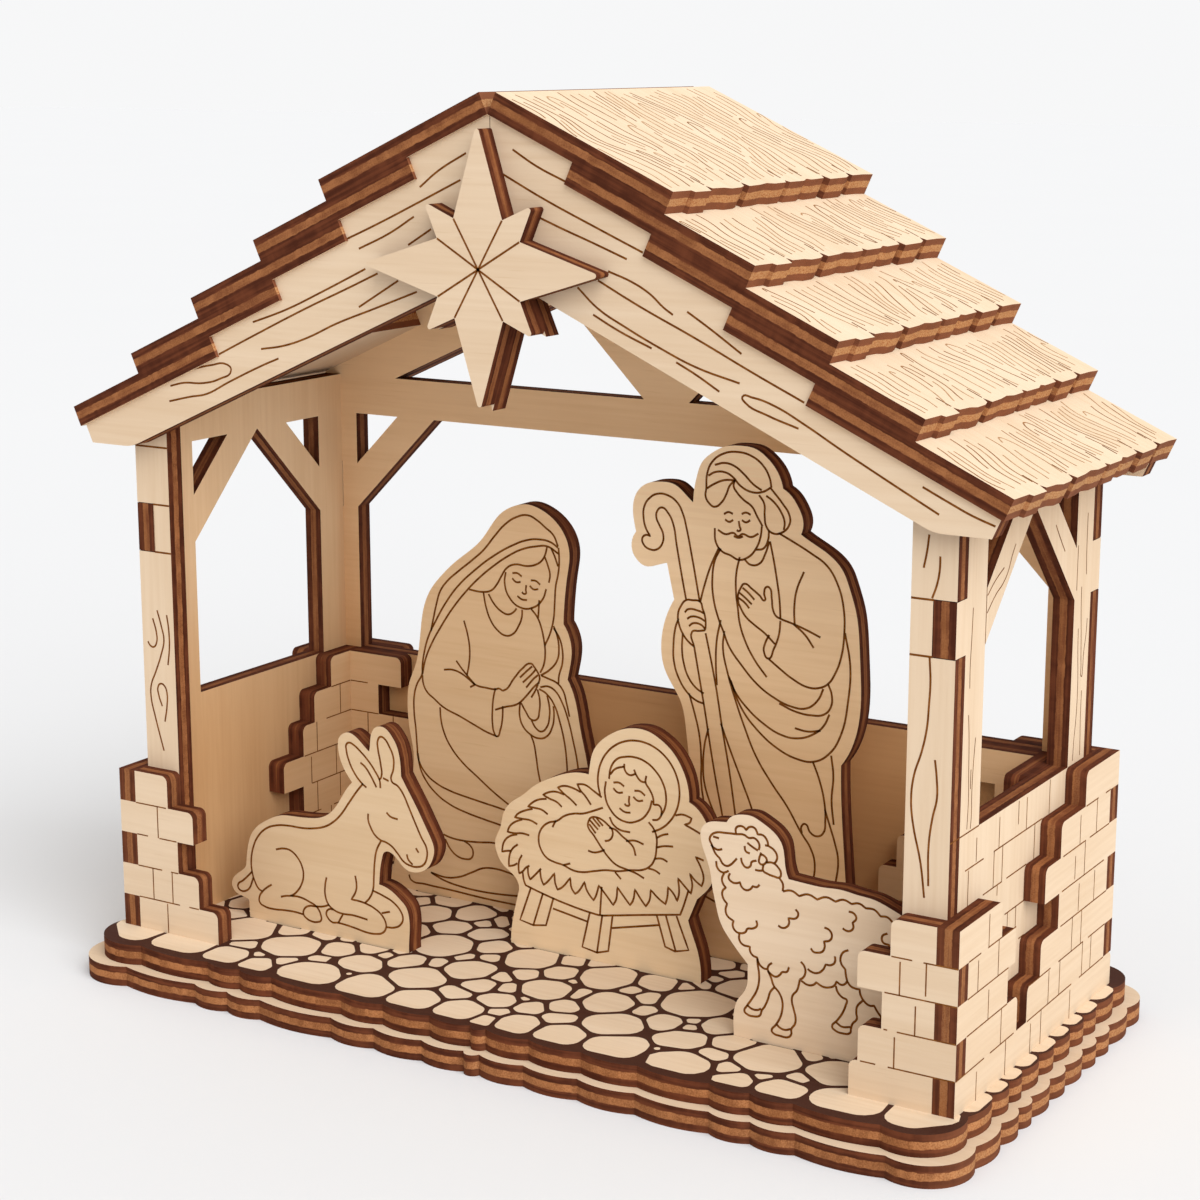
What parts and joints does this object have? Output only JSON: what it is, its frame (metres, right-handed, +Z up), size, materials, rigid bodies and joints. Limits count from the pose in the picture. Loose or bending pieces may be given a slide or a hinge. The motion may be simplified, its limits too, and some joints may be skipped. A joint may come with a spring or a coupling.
{
  "type": "nativity stable decoration",
  "caption": "Open-fronted plywood nativity stable with shingled roof, stonework, star, cobbled base and slotted lift-out figures, for seasonal display.",
  "frame": {"origin": "centre of the footprint on the underside of the lower base plate", "axes": "+X to the right along the entrance, -Y out of the entrance towards the viewer, +Z up"},
  "size_m": [0.146, 0.0714, 0.1289],
  "materials": {
    "plywood": "bare pale plywood with scorched cut edges",
    "engraved_plywood": "bare pale plywood with burnt engraved lines"
  },
  "bodies": {
    "stable": {"back_left_stonework": "plywood", "back_right_stonework": "plywood", "back_wall": "plywood", "base_lower_plate": "plywood", "cobble_floor_plate": "engraved_plywood", "front_left_bargeboard": "plywood", "front_left_post": "plywood", "front_left_stonework": "plywood", "front_right_bargeboard": "plywood", "front_right_post": "plywood", "front_right_stonework": "plywood", "inner_left_back_stonework": "plywood", "inner_left_side_stonework": "plywood", "inner_right_back_stonework": "plywood", "inner_right_side_stonework": "plywood", "left_roof_course_1": "plywood", "left_roof_course_2": "plywood", "left_roof_course_3": "plywood", "left_roof_course_4": "plywood", "left_roof_course_5": "plywood", "left_side_stonework": "plywood", "left_side_wall": "plywood", "rear_left_bargeboard": "plywood", "rear_right_bargeboard": "plywood", "right_roof_course_1": "plywood", "right_roof_course_2": "plywood", "right_roof_course_3": "plywood", "right_roof_course_4": "plywood", "right_roof_course_5": "plywood", "right_side_stonework": "plywood", "right_side_wall": "plywood", "star_backing": "plywood", "star_front": "plywood"},
    "mother": {"mother_figure": "engraved_plywood"},
    "man_with_crook": {"man_with_crook": "engraved_plywood"},
    "manger": {"manger_with_infant": "engraved_plywood"},
    "donkey": {"donkey_figure": "engraved_plywood"},
    "sheep": {"sheep_figure": "engraved_plywood"}
  },
  "joints": [
    {"name": "mother_lift", "type": "slide", "parent": "stable", "child": "mother", "axis": [0, 0, 1], "range_m": [0, 0.012]},
    {"name": "man_with_crook_lift", "type": "slide", "parent": "stable", "child": "man_with_crook", "axis": [0, 0, 1], "range_m": [0, 0.012]},
    {"name": "manger_lift", "type": "slide", "parent": "stable", "child": "manger", "axis": [0, 0, 1], "range_m": [0, 0.012]},
    {"name": "donkey_lift", "type": "slide", "parent": "stable", "child": "donkey", "axis": [0, 0, 1], "range_m": [0, 0.012]},
    {"name": "sheep_lift", "type": "slide", "parent": "stable", "child": "sheep", "axis": [0, 0, 1], "range_m": [0, 0.012]}
  ]
}
